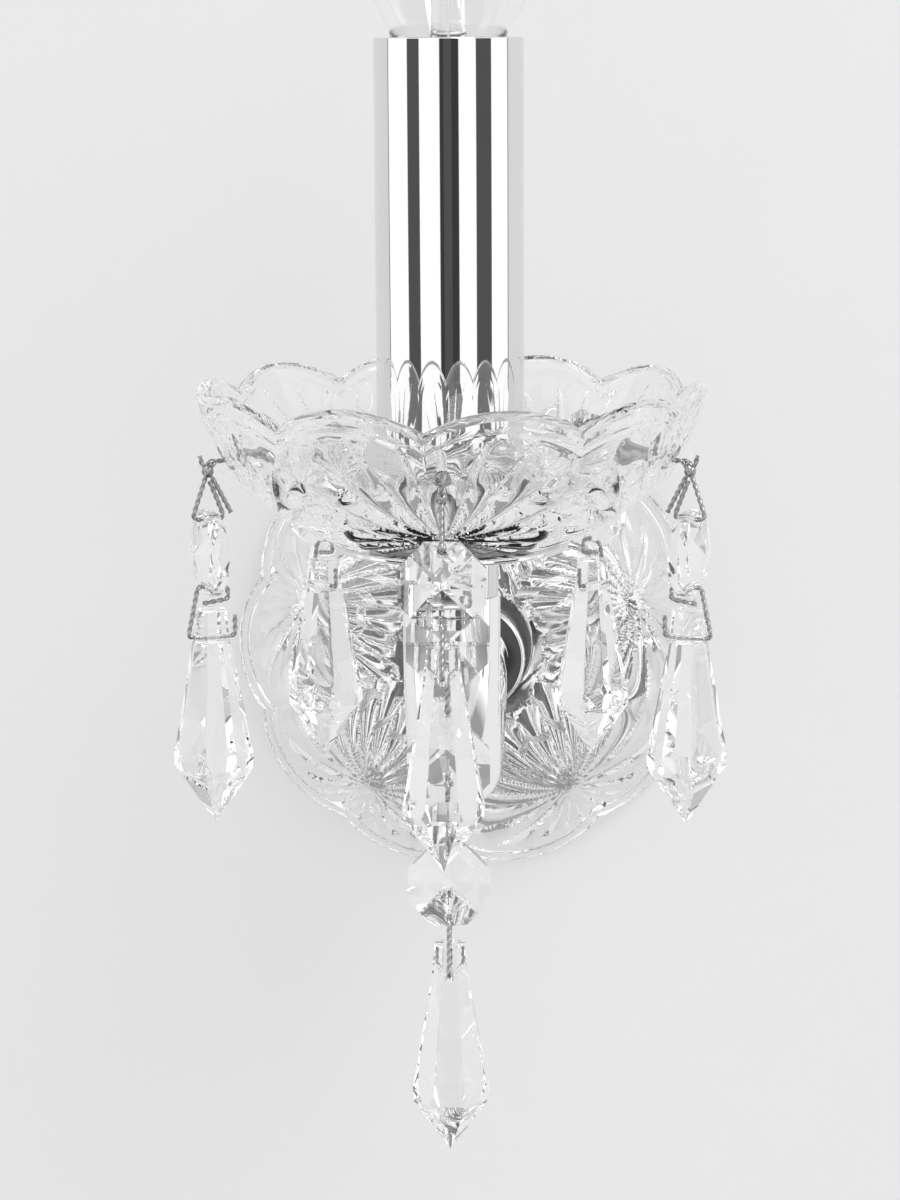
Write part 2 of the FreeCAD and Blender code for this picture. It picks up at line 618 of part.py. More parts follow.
# ---- crystals ----------------------------------------------------------------------------
def octagon():
    """Eight-sided bead, flat sides up and down, its faces made of eight kites round the centre."""
    inner = OCTAGON_WIDTH / 2
    corner = inner / math.cos(math.pi / 8)
    corner_half = OCTAGON_PEAK - (OCTAGON_PEAK - OCTAGON_EDGE) / math.cos(math.pi / 8) ** 2

    def ring(radius, half, shift):
        turns = [(k + shift) * math.pi / 4 for k in range(8)]
        return [V(half, radius * math.cos(t), radius * math.sin(t)) for t in turns]

    faces = []
    for side in (-1, 1):
        middles, corners = ring(inner, side * OCTAGON_EDGE, 0), ring(corner, side * corner_half, 0.5)
        peak = V(side * OCTAGON_PEAK, 0, 0)
        faces += [[peak, middles[k], corners[k], middles[(k + 1) % 8]] for k in range(8)]
    front, back = ring(inner, OCTAGON_EDGE, 0), ring(inner, -OCTAGON_EDGE, 0)
    high, low = ring(corner, corner_half, 0.5), ring(corner, -corner_half, 0.5)
    faces += [[high[k - 1], front[k], high[k], low[k], back[k], low[k - 1]] for k in range(8)]
    bead = faceted(faces)
    return bead.cut([
        Part.makeCylinder(CRYSTAL_HOLE_R, OCTAGON_WIDTH, V(-inner, 0, side * OCTAGON_HOLE), V(1, 0, 0))
        for side in (-1, 1)
    ])


def icicle():
    """Long faceted drop, its top at height 0: an eight-sided head, then eight long facets, eight kites
    round the girdle and eight facets at the point."""
    wide = 4 * DROP_R
    block = Part.makeBox(wide, wide, DROP_LENGTH, V(-wide / 2, -wide / 2, -DROP_LENGTH))
    long_slope = (DROP_R - DROP_NECK_R) / (DROP_GIRDLE - DROP_HEAD)
    point_slope = DROP_R / (DROP_LENGTH - DROP_GIRDLE)
    planes = []
    for k in range(8):
        out = V(math.cos(k * math.pi / 4), math.sin(k * math.pi / 4), 0)
        between = V(math.cos((k + 0.5) * math.pi / 4), math.sin((k + 0.5) * math.pi / 4), 0)
        planes.append((out * DROP_R - V(0, 0, DROP_GIRDLE), out + V(0, 0, long_slope)))
        planes.append((V(0, 0, -DROP_LENGTH), out - V(0, 0, point_slope)))
        planes.append((between * DROP_R * KITE_CUT - V(0, 0, DROP_GIRDLE), between))
    body = trimmed(block, planes)
    head_slope = (DROP_NECK_R - DROP_HEAD_R) / DROP_HEAD
    head = []
    for k in range(8):
        out = V(math.cos(k * math.pi / 4), math.sin(k * math.pi / 4), 0)
        head.append((out * DROP_HEAD_R, out + V(0, 0, head_slope)))
    cap = trimmed(Part.makeBox(wide, wide, DROP_HEAD, V(-wide / 2, -wide / 2, -DROP_HEAD)), head)
    below = Part.makeBox(wide, wide, DROP_LENGTH, V(-wide / 2, -wide / 2, -DROP_HEAD - DROP_LENGTH))
    drop = body.common(below).fuse(cap).removeSplitter()
    return drop.cut(Part.makeCylinder(CRYSTAL_HOLE_R, wide, V(-wide / 2, 0, -DROP_HOLE), V(1, 0, 0)))


def ball(radius, outward, height, seam):
    """Ball on a wire, its seam turned to the side, 0 outwards or 180 inwards, where no wire leaves it."""
    sphere = Part.makeSphere(radius)
    sphere.rotate(V(0, 0, 0), V(1, 0, 0), 90)
    sphere.rotate(V(0, 0, 0), V(0, 1, 0), seam)
    sphere.translate(V(outward, 0, height))
    return sphere


def bowl_hook():
    """Headed wire through the bowl's wall, its stem at height 0, with a loop that hangs outside."""
    out, low, start = HANG_R, -HOOK_LENGTH, (HANG_R, -KNOT_DROP)
    loop = bent(
        (out - HOOK_STEM, 0), (out, 0), start, (out + HOOK_OUT, low), (out - HOOK_IN, low),
        (out - HOOK_END_IN, low + HOOK_END_RISE),
    )
    leg = bent(start, (out - LEG_SHOULDER_IN, -LEG_SHOULDER_DROP), (out - LEG_IN, low + LEG_END_RISE))
    return loop.fuse([leg, ball(HOOK_HEAD_R, out - HOOK_STEM, 0, 180), ball(KNOT_R, out, -KNOT_DROP, 0)])


def pan_hook():
    """Wire over the pan's edge and down through its hole, its top bar at height 0."""
    out, low = CHAIN_R, -CHAIN_HOOK_LENGTH
    return bent(
        (out - CHAIN_INNER, -CHAIN_HOOK_TAIL), (out - CHAIN_INNER, 0), (out + CHAIN_HOOK_OUT, 0),
        (out + CHAIN_HOOK_OUT, low), (out - CHAIN_HOOK_IN, low),
        (out - CHAIN_HOOK_END_IN, low + CHAIN_HOOK_END_RISE),
    )


def link(radius, length, outer, inner):
    """Staple of wire between two crystals, its top bar at height 0."""
    return bent(
        (radius + LINK_TAIL_OUT, -LINK_TAIL_DROP), (radius - LINK_SHOULDER_IN, -LINK_SHOULDER_DROP),
        (radius - LINK_TOP_IN, 0), (radius + LINK_TOP_OUT, 0), (radius + outer, -length),
        (radius - inner, -length), (radius - inner, LINK_END_RISE - length),
    )


def at_height(shape, radius, height):
    shape = shape.copy()
    shape.translate(V(radius, 0, height))
    return shape


def pendant(name, azimuth):
    """Hook, octagon, link and drop that hang from one hole of the bowl."""
    bead = HOOK_Z - HOOK_LENGTH - SEAT - OCTAGON_HOLE
    bar = bead - OCTAGON_HOLE - SEAT
    top = bar - LINK_LENGTH - SEAT + DROP_HOLE
    crystal = OCTAGON.copy()
    crystal.rotate(V(0, 0, 0), V(0, 0, 1), BEAD_TURN.get(name, 0))
    return {
        f"{name}_hook": hung(at_height(bowl_hook(), 0, HOOK_Z), azimuth),
        f"{name}_octagon": hung(at_height(crystal, HANG_R, bead), azimuth),
        f"{name}_link": hung(at_height(link(HANG_R, LINK_LENGTH, LINK_OUT, LINK_IN), 0, bar), azimuth),
        f"{name}_drop": hung(at_height(ICICLE, HANG_R, top), azimuth),
    }


def centre_chain():
    """Three octagons and a drop, one below the other, that hang from the front of the pan."""
    pieces = {"centre_hook": hung(at_height(pan_hook(), 0, CHAIN_Z), 0)}
    bar, length = CHAIN_Z, CHAIN_HOOK_LENGTH
    for k in (1, 2, 3):
        bead = bar - length - SEAT - OCTAGON_HOLE
        bar, length = bead - OCTAGON_HOLE - SEAT, CHAIN_LINK_LENGTH
        outer, inner = (BEAD_LINK_OUT, BEAD_LINK_IN) if k < 3 else (LINK_OUT, LINK_IN)
        pieces[f"centre_octagon_{k}"] = hung(at_height(OCTAGON, CHAIN_R, bead), 0)
        pieces[f"centre_link_{k}"] = hung(at_height(link(CHAIN_R, length, outer, inner), 0, bar), 0)
    pieces["centre_drop"] = hung(at_height(ICICLE, CHAIN_R, bar - length - SEAT + DROP_HOLE), 0)
    return pieces


# ---- heights along the lamp axis -----------------------------------------------------------
BOWL_TOP_FLOOR = BOWL_SEAT + BOWL_FLOOR
NUT_SEAT = BOWL_TOP_FLOOR + WASHER_T
HOLDER_SEAT = NUT_SEAT + NUT_T
HOLDER_TOP = SLEEVE_TOP - HOLDER_TOP_GAP
CUP_BOTTOM = HOLDER_TOP - HOLDER_CUP_HEIGHT
CUP_FLOOR = CUP_BOTTOM + HOLDER_FLOOR
CAP_TOP = SLEEVE_TOP - BULB_SEAT
STEM_TOP = CAP_TOP + STEM_RISE
LINER_TOP = CAP_TOP - SKIRT_HEIGHT - 0.5
CAP_THREAD_END = CAP_TOP - SKIRT_HEIGHT - CAP_PITCH * (CAP_TURNS + 0.5)
CAP_END = CAP_THREAD_END - 1.6
CAP_BUTTON = CAP_END - 2.2
CAP_CONTACT = CAP_BUTTON - 1.3
HANG_Z = BOWL_SEAT + BOWL_HEIGHT - HANG_DROP
HOOK_Z = HANG_Z - HANG_HOLE_R + LINK_WIRE + GAP
CHAIN_Z = PAN_TOP + LINK_WIRE + GAP
OCTAGON, ICICLE = octagon(), icicle()

PIECES = {
    "wall_bracket": wall_bracket(),
    "wall_plate": wall_plate(),
    "plate_screws": plate_screws(),
    "terminal_block": terminal_block(),
    "earth_screw": earth_screw(),
    "earth_wire": earth_wire(),
    "wall_tube": off_wall(tube(TUBE_R, TUBE_BORE, WALL_TUBE_BACK, ARM_START + TUBE_IN_ARM)),
    "wall_nut": off_wall(hexagon(NUT_ACROSS, TUBE_R + TUBE_FIT, NUT_BACK, PLATE_INNER)),
    "dish_rear_washer": off_wall(tube(DISH_FOOT_R - 2.5, TUBE_R + TUBE_FIT, PLATE_DEPTH, DISH_SEAT)),
    "wall_dish": wall_dish(),
    "dish_front_washer": off_wall(tube(FLANGE_R - 1, TUBE_R + TUBE_FIT, DISH_DEPTH, FLANGE_BACK)),
    "wall_ferrule": wall_ferrule(),
    "glass_arm": glass_arm(),
    "live_wire": conductor(WIRE_OFFSET),
    "neutral_wire": conductor(-WIRE_OFFSET),
    "top_ferrule": top_ferrule(),
    "lamp_tube": on_lamp(tube(TUBE_R, TUBE_BORE, ARM_END - TUBE_IN_ARM, HOLDER_SEAT + HOLDER_FOOT_T)),
    "pan": pan(),
    "bowl_lower_washer": on_lamp(tube(CHAIN_R - CHAIN_INNER - 3, TUBE_R + TUBE_FIT, PAN_TOP, BOWL_SEAT)),
    "drip_bowl": drip_bowl(),
    "bowl_upper_washer": on_lamp(tube(HOLDER_FOOT_R, TUBE_R + TUBE_FIT, BOWL_TOP_FLOOR, NUT_SEAT)),
    "bowl_nut": on_lamp(hexagon(NUT_ACROSS, TUBE_R + TUBE_FIT, NUT_SEAT, HOLDER_SEAT)),
    "lampholder": lampholder(),
    "holder_liner": on_lamp(tube(LINER_BORE + LINER_T, LINER_BORE, LINER_TOP - LINER_HEIGHT, LINER_TOP)),
    "holder_contact": holder_contact(),
    "candle_sleeve": on_lamp(tube(SLEEVE_R, SLEEVE_R - SLEEVE_WALL, BOWL_TOP_FLOOR, SLEEVE_TOP)),
    "bulb_cap": bulb_cap(),
    "bulb_insulator": bulb_insulator(),
    "bulb_contact": bulb_contact(),
    "bulb_glass": bulb_glass(),
    "bulb_stem": bulb_stem(),
    "bulb_filament": bulb_filament(),
}
for name, azimuth in PENDANTS.items():
    PIECES.update(pendant(name, azimuth))
PIECES.update(centre_chain())

os.makedirs("parts", exist_ok=True)
for name, shape in PIECES.items():
    shape.exportStep(f"parts/{name}.step")
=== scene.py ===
"""Crystal wall sconce: its finishes and its detailed glass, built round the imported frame.

Metres, +Z up. The wall is the plane Y = 0, the room is towards -Y, and the lamp's axis is upright.
"""

import json
import math

import bpy
import numpy as np
from mathutils import Matrix, Vector


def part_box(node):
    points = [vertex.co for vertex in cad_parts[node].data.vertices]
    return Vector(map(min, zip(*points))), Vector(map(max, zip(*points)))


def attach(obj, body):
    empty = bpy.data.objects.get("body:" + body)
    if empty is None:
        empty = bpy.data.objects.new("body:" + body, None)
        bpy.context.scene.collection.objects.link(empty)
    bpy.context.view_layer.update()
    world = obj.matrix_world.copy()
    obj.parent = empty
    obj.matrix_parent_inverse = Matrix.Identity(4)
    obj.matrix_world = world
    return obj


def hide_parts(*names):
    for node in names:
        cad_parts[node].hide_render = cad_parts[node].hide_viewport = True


MM = 0.001
TAU = 2 * math.pi
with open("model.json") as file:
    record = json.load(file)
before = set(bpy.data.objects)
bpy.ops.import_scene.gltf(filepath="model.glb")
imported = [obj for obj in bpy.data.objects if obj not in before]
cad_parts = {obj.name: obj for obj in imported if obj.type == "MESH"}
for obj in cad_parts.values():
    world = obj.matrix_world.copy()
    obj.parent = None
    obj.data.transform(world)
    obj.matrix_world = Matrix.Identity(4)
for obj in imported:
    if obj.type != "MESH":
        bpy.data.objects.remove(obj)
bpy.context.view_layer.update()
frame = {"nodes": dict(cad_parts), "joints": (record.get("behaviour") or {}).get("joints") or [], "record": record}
joints = {joint["name"]: joint for joint in frame["joints"]}


# ---- places read from the frame ------------------------------------------------------------------
def low(node):
    """Lowest corner of a node's box."""
    return np.array(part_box(node)[0])


def high(node):
    """Highest corner of a node's box."""
    return np.array(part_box(node)[1])


def pivot_of(joint):
    """Place and axis of a joint."""
    return np.array(joints[joint]["pos_m"]), np.array(joints[joint]["axis"], float)


LAMP = (low("candle_sleeve") + high("candle_sleeve")) / 2 * [1, 1, 0]
PENDANTS = ("front", "right", "back_right", "back_left", "left")
TUBE_HOLE = 5.6 * MM  # hole that lets the threaded tube through plate, pan, bowl and dish
SPIGOT_R = 5.85 * MM  # spigots cemented into the arm's ends
SPIGOT_BORE = 5.0 * MM
WIRE_R = 0.44 * MM  # twisted wire of the hooks and links
WIRE_TOP = 0.43 * MM  # from the wire's middle up to the top of its node's box


# ---- mesh helpers --------------------------------------------------------------------------------
def grid_faces(rows, columns, close_rows, close_columns):
    """Quads of a grid of rows by columns, wrapped where asked, as an array of four indices each."""
    i = np.arange(rows if close_rows else rows - 1)[:, None]
    j = np.arange(columns if close_columns else columns - 1)[None, :]
    i2, j2 = (i + 1) % rows, (j + 1) % columns
    corners = [i * columns + j, i2 * columns + j, i2 * columns + j2, i * columns + j2]
    return np.stack([np.broadcast_to(c, (i.size, j.size)) for c in corners], -1).reshape(-1, 4)


def mesh_object(name, points, faces, sharp=35):
    """Object from points and faces, smooth but for edges that turn by more than sharp degrees."""
    mesh = bpy.data.meshes.new(name)
    mesh.from_pydata(np.asarray(points).reshape(-1, 3).tolist(), [], [list(face) for face in faces])
    mesh.validate()
    mesh.polygons.foreach_set("use_smooth", np.ones(len(mesh.polygons), bool))
    mesh.set_sharp_from_angle(angle=math.radians(sharp))
    obj = bpy.data.objects.new(name, mesh)
    bpy.context.scene.collection.objects.link(obj)
    return obj


def arc_points(a, b, bulge, count):
    """Points on the arc from a to b that bows out by bulge to the right of the way from a to b."""
    a, b = np.array(a, float), np.array(b, float)
    chord = np.linalg.norm(b - a)
    along = (b - a) / chord
    side = np.array([along[1], -along[0]])
    radius = (chord**2 / 4 + bulge**2) / (2 * bulge)
    centre = (a + b) / 2 + side * (bulge - radius)
    half = math.asin(chord / 2 / radius)
    turn = np.linspace(-half, half, count)[:, None]
    return centre + radius * (np.cos(turn) * side + np.sin(turn) * along)


def lathe(name, profile, segments=128, sharp=35):
    """Turned piece about Z: each point (radius, height) of the closed profile becomes a ring."""
    profile = np.array(profile, float)
    turn = np.arange(segments) / segments * TAU
    x = profile[:, None, 0] * np.cos(turn)
    y = profile[:, None, 0] * np.sin(turn)
    z = np.broadcast_to(profile[:, None, 1], x.shape)
    points = np.stack([x, y, z], -1)
    return mesh_object(name, points, grid_faces(len(profile), segments, True, True)[:, ::-1], sharp)


def rounded(corners, radius, steps=5):
    """Closed profile with its corners rounded: each corner gives way to a short quadratic curve."""
    corners = np.array(corners, float)
    before, after = np.roll(corners, 1, 0), np.roll(corners, -1, 0)
    out = []
    for p, a, b in zip(corners, before, after):
        u, v = a - p, b - p
        reach = min(radius, 0.45 * np.linalg.norm(u), 0.45 * np.linalg.norm(v))
        s, e = p + u / np.linalg.norm(u) * reach, p + v / np.linalg.norm(v) * reach
        t = np.linspace(0, 1, steps)[:, None]
        out.append((1 - t) ** 2 * s + 2 * t * (1 - t) * p + t**2 * e)
    return np.concatenate(out)


def moved(obj, matrix, shift):
    """Turns and moves a piece in its own mesh, so that the object stays at the origin."""
    count = len(obj.data.vertices)
    co = np.empty(count * 3)
    obj.data.vertices.foreach_get("co", co)
    co = co.reshape(-1, 3) @ np.array(matrix, float).T + shift
    obj.data.vertices.foreach_set("co", co.ravel())
    obj.data.update()
    return obj


UPRIGHT = np.eye(3)
OFF_WALL = np.array([[1, 0, 0], [0, 0, -1], [0, 1, 0]])  # heights become depths out from the wall


# ---- shader helpers ------------------------------------------------------------------------------
class Value:
    """A number socket of a material; arithmetic on it adds Math nodes."""

    def __init__(self, shader, socket):
        self.shader, self.socket = shader, socket

    def step(self, operation, *others, flip=False):
        values = [self, *others]
        if flip:
            values.reverse()
        return self.shader.math(operation, *values)

    def __add__(self, other):
        return self.step("ADD", other)

    def __sub__(self, other):
        return self.step("SUBTRACT", other)

    def __rsub__(self, other):
        return self.step("SUBTRACT", other, flip=True)

    def __mul__(self, other):
        return self.step("MULTIPLY", other)

    __radd__, __rmul__ = __add__, __mul__


class Shader:
    """Node tree of one material or world, with one method that adds any node."""

    def __init__(self, tree):
        self.tree = tree
        tree.nodes.clear()

    def node(self, kind, settings=None, **inputs):
        node = self.tree.nodes.new(kind)
        for name, value in (settings or {}).items():
            setattr(node, name, value)
        for name, value in inputs.items():
            self.feed(node.inputs[name.replace("_", " ") if name not in node.inputs else name], value)
        return node

    def feed(self, socket, value):
        if isinstance(value, Value):
            value = value.socket
        if isinstance(value, bpy.types.NodeSocket):
            self.tree.links.new(value, socket)
        else:
            socket.default_value = value

    def math(self, operation, *values):
        node = self.tree.nodes.new("ShaderNodeMath")
        node.operation = operation
        for socket, value in zip(node.inputs, values):
            self.feed(socket, value)
        return Value(self, node.outputs[0])

    def noise(self, coords, scale, detail=2.0, roughness=0.5):
        made = self.node("ShaderNodeTexNoise", Vector=coords, Scale=scale, Detail=detail,
                         Roughness=roughness)
        return Value(self, made.outputs["Fac"])

    def mix(self, factor, a, b):
        made = self.node("ShaderNodeMix", {"data_type": "RGBA"})
        self.feed(made.inputs[0], factor)
        self.feed(made.inputs[6], a)
        self.feed(made.inputs[7], b)
        return made.outputs[2]


def material(name):
    """New material with its Object coordinates and a Principled shader on the output."""
    made = bpy.data.materials.new(name)
    made.use_nodes = True
    shader = Shader(made.node_tree)
    coords = shader.node("ShaderNodeTexCoord").outputs["Object"]
    surface = shader.node("ShaderNodeBsdfPrincipled")
    output = shader.node("ShaderNodeOutputMaterial")
    shader.feed(output.inputs["Surface"], surface.outputs[0])
    return made, shader, coords, surface


def bumped(shader, surface, height, strength, distance):
    """Lets a height in metres tilt the surface's normal."""
    bump = shader.node("ShaderNodeBump", Strength=strength, Distance=distance, Height=height)
    shader.feed(surface.inputs["Normal"], bump.outputs[0])


def grey(value, warm=0.0):
    """Grey as a colour, a little redder and less blue where warm."""
    return (value + warm, value, value - warm, 1.0)


def glass(name, ior, wave_scale, wave_depth, haze=0.0):
    """Clear glass: a faint unevenness from its making, and a very thin haze in soft patches.

    The wave's scale is in waves per metre, and its depth in metres.
    """
    made, shader, coords, surface = material(name)
    surface.inputs["Transmission Weight"].default_value = 1.0
    surface.inputs["IOR"].default_value = ior
    wave = shader.noise(coords, wave_scale, 2.0)
    patches = shader.noise(coords, 90.0, 3.0)
    shader.feed(surface.inputs["Base Color"], shader.mix(patches, grey(0.985), grey(1.0)))
    shader.feed(surface.inputs["Roughness"], patches * patches * haze)
    bumped(shader, surface, wave, 0.35, wave_depth)
    return made


def metal(name, light, dark, gloss, scuff, grain_scale, warm=0.0, grain_depth=0.00001):
    """Metal with slow changes of tone, a fine grain, and a little less gloss where it is handled.

    Its tone runs from light to dark, its roughness from gloss up by scuff.
    """
    made, shader, coords, surface = material(name)
    surface.inputs["Metallic"].default_value = 1.0
    tone = shader.noise(coords, 60.0, 3.0)
    grain = shader.noise(coords, grain_scale, 4.0)
    shader.feed(surface.inputs["Base Color"], shader.mix(tone, grey(light, warm), grey(dark, warm)))
    shader.feed(surface.inputs["Roughness"], tone * scuff + gloss)
    bumped(shader, surface, grain, 0.2, grain_depth)
    return made


def plastic(name, colour, gloss, grain_scale, grain_depth):
    """Moulded plastic or rubber: a fine moulded grain and slightly uneven gloss."""
    made, shader, coords, surface = material(name)
    cloud = shader.noise(coords, 120.0, 3.0)
    shade = tuple(c * 0.86 for c in colour[:3]) + (1.0,)
    shader.feed(surface.inputs["Base Color"], shader.mix(cloud, colour, shade))
    shader.feed(surface.inputs["Roughness"], cloud * 0.15 + gloss)
    bumped(shader, surface, shader.noise(coords, grain_scale, 3.0), 0.4, grain_depth)
    return made


FINISH = {
    "pressed_glass": glass("pressed_glass", 1.52, 160.0, 0.00006, 0.02),
    "crystal": glass("cut_crystal", 1.55, 50.0, 0.000004, 0.0),
    "arm_glass": glass("drawn_glass", 1.5, 45.0, 0.0001, 0.02),
    "bulb_glass": glass("blown_glass", 1.5, 60.0, 0.00003, 0.01),
    "chrome": metal("polished_chrome", 0.8, 0.77, 0.015, 0.03, 900.0, grain_depth=0.000002),
    "link_wire": metal("bright_wire", 0.46, 0.3, 0.12, 0.15, 2500.0),
    "nickel": metal("nickel_cap", 0.72, 0.6, 0.18, 0.15, 1500.0, 0.02),
    "zinc_steel": metal("zinc_steel", 0.68, 0.55, 0.3, 0.2, 1200.0),
    "brass": metal("plain_brass", 0.62, 0.5, 0.22, 0.2, 1200.0, 0.18),
    "solder": metal("dull_solder", 0.6, 0.5, 0.4, 0.2, 900.0),
    "filament": metal("lead_wire", 0.42, 0.3, 0.3, 0.2, 3000.0),
    "black_plastic": plastic("dark_thermoset", (0.03, 0.03, 0.032, 1), 0.35, 2500.0, 0.00002),
    "black_glass": plastic("dark_insulator", (0.02, 0.02, 0.025, 1), 0.1, 800.0, 0.00001),
    "white_plastic": plastic("white_nylon", (0.8, 0.8, 0.78, 1), 0.4, 2500.0, 0.00002),
    "live_insulation": plastic("white_sleeving", (0.78, 0.78, 0.78, 1), 0.3, 1500.0, 0.00001),
    "neutral_insulation": plastic("grey_sleeving", (0.7, 0.7, 0.71, 1), 0.3, 1500.0, 0.00001),
    "earth_insulation": plastic("green_sleeving", (0.28, 0.42, 0.06, 1), 0.3, 1500.0, 0.00001),
    "rubber": plastic("clear_rubber", (0.6, 0.6, 0.59, 1), 0.45, 1800.0, 0.00002),
}
SLOT_OF = {part["node"]: part["material_slot"] for part in frame["record"]["subparts"]}
BODY_OF = {node: body for body, nodes in frame["record"]["behaviour"]["bodies"].items() for node in nodes}
for node, obj in frame["nodes"].items():
    obj.data.materials.clear()
    obj.data.materials.append(FINISH[SLOT_OF[node]])


def dress(obj, node):
    """A new piece stands in for a CAD node, with that node's body, slot and finish."""
    obj.data.materials.clear()
    obj.data.materials.append(FINISH[SLOT_OF[node]])
    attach(obj, BODY_OF[node])
    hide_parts(node)


# ---- turned metal and glass ----------------------------------------------------------------------
def node_frame(node, about="lamp"):
    """Radius, lowest and highest height (or depth from the wall) of a round node."""
    a, b = low(node), high(node)
    radius = (b - a)[0] / 2
    return (radius, a[2], b[2]) if about == "lamp" else (radius, -b[1], -a[1])


def on_lamp(obj):
    """Moves a turned piece onto the lamp's axis."""
    return moved(obj, UPRIGHT, LAMP)


def candle_sleeve():
    """Chrome tube with its cut edges just broken."""
    radius, base, top = node_frame("candle_sleeve")
    wall = 0.6 * MM
    section = [(radius - wall, base), (radius, base), (radius, top), (radius - wall, top)]
    return on_lamp(lathe("candle_sleeve_tube", rounded(section, 0.22 * MM), 256))


def pan_disc():
    """Chrome disc under the bowl, with the hole that the centre hook's wire goes up through."""
    radius, base, top = node_frame("pan")
    section = [(TUBE_HOLE, base), (radius, base), (radius, top), (TUBE_HOLE, top)]
    disc = on_lamp(lathe("pan_disc", rounded(section, 0.45 * MM), 192))
    bar, _ = pivot_of("centre_hook_swing")
    hole_r, reach, behind = 1.3 * MM, 6 * MM, 1.9 * MM
    return bore(disc, [(bar + [0, behind, 0], (0, 0, 1), hole_r, reach)])


def top_ferrule():
    """Chrome collar between the pan and the arm's upper end, with a spigot inside the glass."""
    radius, base, top = node_frame("top_ferrule")
    end = high("glass_arm")[2]
    section = [(SPIGOT_BORE, base), (SPIGOT_R, base), (SPIGOT_R, end), (radius, end), (radius, top),
               (SPIGOT_BORE, top)]
    return on_lamp(lathe("top_ferrule_collar", rounded(section, 0.3 * MM), 160))


def wall_ferrule():
    """Chrome flange against the dish, a short collar, and a spigot inside the arm's lower end."""
    radius, base, top = node_frame("wall_ferrule", "wall")
    start, front, bevel, collar = -high("glass_arm")[1], base + 1.8 * MM, 0.6 * MM, 8.3 * MM
    section = [(SPIGOT_BORE, base), (radius, base), (radius, front - bevel), (radius - bevel, front),
               (collar, front), (collar, start), (SPIGOT_R, start), (SPIGOT_R, top), (SPIGOT_BORE, top)]
    return moved(lathe("wall_ferrule_collar", rounded(section, 0.25 * MM), 160), OFF_WALL, 0)


def flipped(obj):
    """Turns a mesh's faces round, for a profile that ran the other way."""
    obj.data.flip_normals()
    return obj


def wall_plate():
    """Spun chrome plate: straight side, a shoulder that is an arc, and a raised centre.

    The inner wall runs back at the sheet's thickness.
    """
    radius, base, top = node_frame("wall_plate", "wall")
    sheet, step, side, shoulder, centre, bow = (x * MM for x in (1.0, 1.5, 4.6, 30.0, 23.6, 1.2))
    terrace = top - step
    outer = [(radius, base), (radius, side)]
    outer += list(arc_points((radius, side), (shoulder, terrace), bow, 12)[1:])
    outer += [(centre + step, terrace), (centre, top), (TUBE_HOLE, top)]
    inner = [(TUBE_HOLE, top - sheet), (centre - sheet, top - sheet), (centre, terrace - sheet),
             (shoulder - sheet, terrace - sheet)]
    under = arc_points((radius - sheet, side - sheet), (shoulder - sheet, terrace - sheet), bow, 12)
    inner += list(under[::-1][1:]) + [(radius - sheet, base)]
    return moved(lathe("wall_plate_shell", rounded(outer + inner, 0.3 * MM, 3), 192), OFF_WALL, 0)


def bore(obj, holes):
    """Drills round holes through a closed mesh: each a point, a direction, a radius and a reach.

    The drill is a closed cylinder that reaches as far to both sides of the point.
    """
    count = 40
    for centre, axis, radius, reach in holes:
        axis = np.array(axis, float) / np.linalg.norm(axis)
        side = np.cross(axis, (0.3, 0.5, 0.9))
        side /= np.linalg.norm(side)
        up = np.cross(axis, side)
        turn = np.arange(count) / count * TAU
        ring = radius * (np.cos(turn)[:, None] * side + np.sin(turn)[:, None] * up)
        ends = [np.array(centre) - axis * reach + ring, np.array(centre) + axis * reach + ring]
        faces = grid_faces(2, count, False, True).tolist()
        faces += [list(range(count)), list(range(2 * count - 1, count - 1, -1))]
        tool = mesh_object("drill", np.concatenate(ends), faces)
        cut = obj.modifiers.new("bore", "BOOLEAN")
        cut.object, cut.operation, cut.solver = tool, "DIFFERENCE", "MANIFOLD"
        bpy.context.view_layer.objects.active = obj
        bpy.ops.object.modifier_apply(modifier=cut.name)
        bpy.data.meshes.remove(tool.data)
    return obj


dress(candle_sleeve(), "candle_sleeve")
dress(pan_disc(), "pan")
dress(top_ferrule(), "top_ferrule")
dress(wall_ferrule(), "wall_ferrule")
dress(wall_plate(), "wall_plate")


# ---- pressed glass -------------------------------------------------------------------------------
FANS, LEAVES = 5, 22
GROOVE_DEPTH, GROOVE_WIDTH = 0.3 * MM, 0.28 * MM
RIDGE_HEIGHT, RIDGE_DOWN, RIDGE_WIDTH = 0.22 * MM, 2.2 * MM, 0.45 * MM


